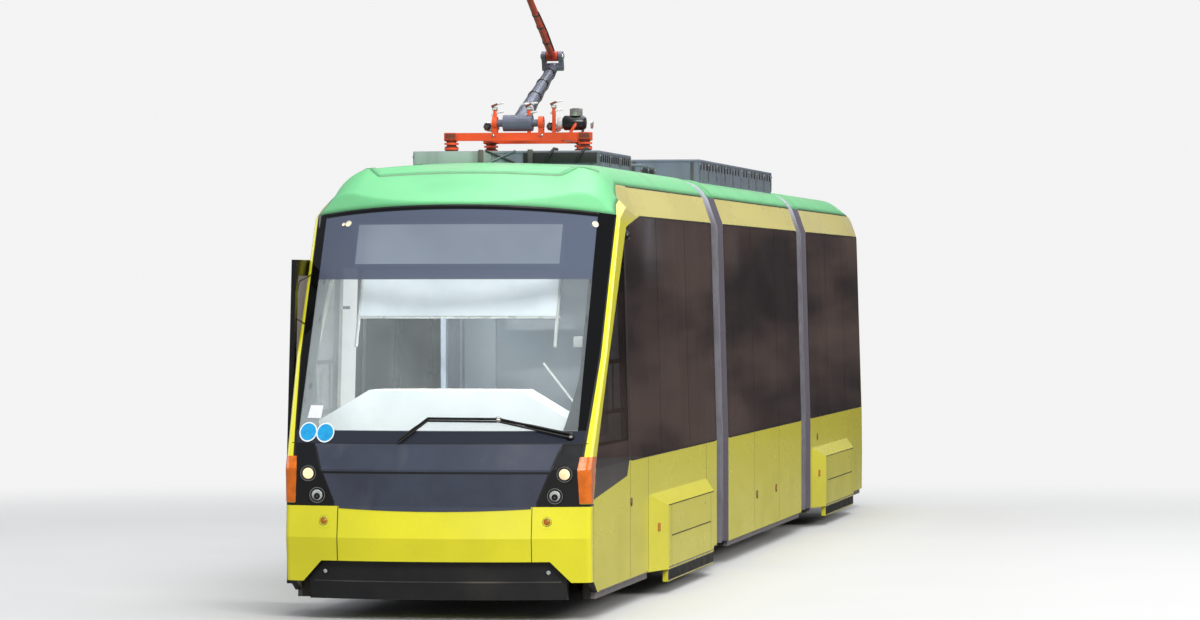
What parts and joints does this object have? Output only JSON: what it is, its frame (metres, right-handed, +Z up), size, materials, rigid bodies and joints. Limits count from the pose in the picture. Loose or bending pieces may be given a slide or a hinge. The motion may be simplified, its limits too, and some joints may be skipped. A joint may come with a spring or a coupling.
{
  "type": "three-section articulated low-floor tram",
  "caption": "Articulated low-floor city tram with a sloped windscreen, bulged bogie covers, bellows between its sections and a single-arm pantograph.",
  "frame": {"origin": "centre of the overall length and width, at the foot of the wheel flanges", "axes": "+X forward, +Y to the vehicle's left, +Z up"},
  "size_m": [19.4998, 2.525, 5.1504],
  "materials": {
    "yellow_paint": "gloss",
    "green_paint": "gloss",
    "dark_paint": "gloss",
    "grey_paint": "satin",
    "black_frame": "satin",
    "tinted_glass": "gloss",
    "clear_glass": "gloss",
    "lamp_lens": "gloss",
    "red_lens": "gloss",
    "black_plastic": "matte",
    "pale_plastic": "matte",
    "seat_fabric": "woven",
    "rail_steel": "satin",
    "box_paint": "satin",
    "frame_paint": "matte",
    "wheel_steel": "machined",
    "bellows_rubber": "matte",
    "orange_paint": "satin",
    "arm_paint": "satin",
    "red_paint": "satin",
    "strip_carbon": "satin"
  },
  "bodies": {
    "front_section": {"front_underframe": "frame_paint", "front_side_left": "yellow_paint", "front_side_right": "yellow_paint", "front_roof": "green_paint", "front_arches": "yellow_paint", "windscreen": "clear_glass", "front_side_glass": "tinted_glass", "front_door": "black_frame", "fascia": "dark_paint", "bumper": "yellow_paint", "apron": "black_plastic", "front_lamps": "lamp_lens", "front_bogie_covers": "yellow_paint", "dashboard": "pale_plastic", "cab_partition": "pale_plastic", "destination_sign": "black_plastic", "driver_seat": "seat_fabric", "front_seats": "seat_fabric", "front_rails": "rail_steel", "wiper": "black_plastic", "side_cameras": "black_plastic", "front_roof_boxes": "box_paint", "pantograph_base": "orange_paint", "front_bellows": "bellows_rubber"},
    "middle_section": {"middle_underframe": "frame_paint", "middle_side_left": "yellow_paint", "middle_side_right": "yellow_paint", "middle_roof": "green_paint", "middle_glass": "tinted_glass", "middle_doors": "yellow_paint", "middle_seats": "seat_fabric", "middle_rails": "rail_steel", "middle_roof_box": "box_paint", "rear_bellows": "bellows_rubber"},
    "rear_section": {"rear_underframe": "frame_paint", "rear_side_left": "yellow_paint", "rear_side_right": "yellow_paint", "rear_roof": "green_paint", "rear_glass": "tinted_glass", "rear_end": "yellow_paint", "rear_door": "yellow_paint", "tail_lamps": "red_lens", "rear_bogie_covers": "yellow_paint", "rear_seats": "seat_fabric", "rear_rails": "rail_steel"},
    "front_bogie": {"front_bogie_frame": "frame_paint"},
    "rear_bogie": {"rear_bogie_frame": "frame_paint"},
    "wheelset_1": {"wheelset_1": "wheel_steel"},
    "wheelset_2": {"wheelset_2": "wheel_steel"},
    "wheelset_3": {"wheelset_3": "wheel_steel"},
    "wheelset_4": {"wheelset_4": "wheel_steel"},
    "lower_arm": {"lower_arm": "arm_paint"},
    "upper_arm": {"upper_arm": "red_paint"},
    "collector_head": {"collector_head": "strip_carbon"}
  },
  "joints": [
    {"name": "front_articulation", "type": "hinge", "parent": "front_section", "child": "middle_section", "pos_m": [2.245, 0, 0.267], "axis": [0, 0, 1], "range_deg": [-18, 18], "deforming": ["front_bellows"]},
    {"name": "rear_articulation", "type": "hinge", "parent": "middle_section", "child": "rear_section", "pos_m": [-4.085, 0, 0.267], "axis": [0, 0, 1], "range_deg": [-18, 18], "deforming": ["rear_bellows"]},
    {"name": "front_bogie_turn", "type": "hinge", "parent": "front_section", "child": "front_bogie", "pos_m": [4.95, 0, 0.267], "axis": [0, 0, 1], "range_deg": [-4, 4]},
    {"name": "rear_bogie_turn", "type": "hinge", "parent": "rear_section", "child": "rear_bogie", "pos_m": [-6.3, 0, 0.267], "axis": [0, 0, 1], "range_deg": [-4, 4]},
    {"name": "wheelset_1_spin", "type": "hinge", "parent": "front_bogie", "child": "wheelset_1", "pos_m": [5.85, 0, 0.335], "axis": [0, 1, 0], "continuous": true},
    {"name": "wheelset_2_spin", "type": "hinge", "parent": "front_bogie", "child": "wheelset_2", "pos_m": [4.05, 0, 0.335], "axis": [0, 1, 0], "continuous": true},
    {"name": "wheelset_3_spin", "type": "hinge", "parent": "rear_bogie", "child": "wheelset_3", "pos_m": [-5.4, 0, 0.335], "axis": [0, 1, 0], "continuous": true},
    {"name": "wheelset_4_spin", "type": "hinge", "parent": "rear_bogie", "child": "wheelset_4", "pos_m": [-7.2, 0, 0.335], "axis": [0, 1, 0], "continuous": true},
    {"name": "pantograph_raise", "type": "hinge", "parent": "front_section", "child": "lower_arm", "pos_m": [6.1, 0, 3.8], "axis": [0, 1, 0], "range_deg": [-16, 32]},
    {"name": "upper_arm_fold", "type": "hinge", "parent": "lower_arm", "child": "upper_arm", "pos_m": [4.44975, 0, 4.4203], "axis": [0, 1, 0], "range_deg": [-64, 32]},
    {"name": "head_level", "type": "hinge", "parent": "upper_arm", "child": "collector_head", "pos_m": [6.1, 0, 5.0406], "axis": [0, 1, 0], "range_deg": [-16, 32]}
  ],
  "couplings": [
    {"joint": "upper_arm_fold", "follows": "pantograph_raise", "ratio": -2},
    {"joint": "head_level", "follows": "pantograph_raise", "ratio": 1}
  ]
}
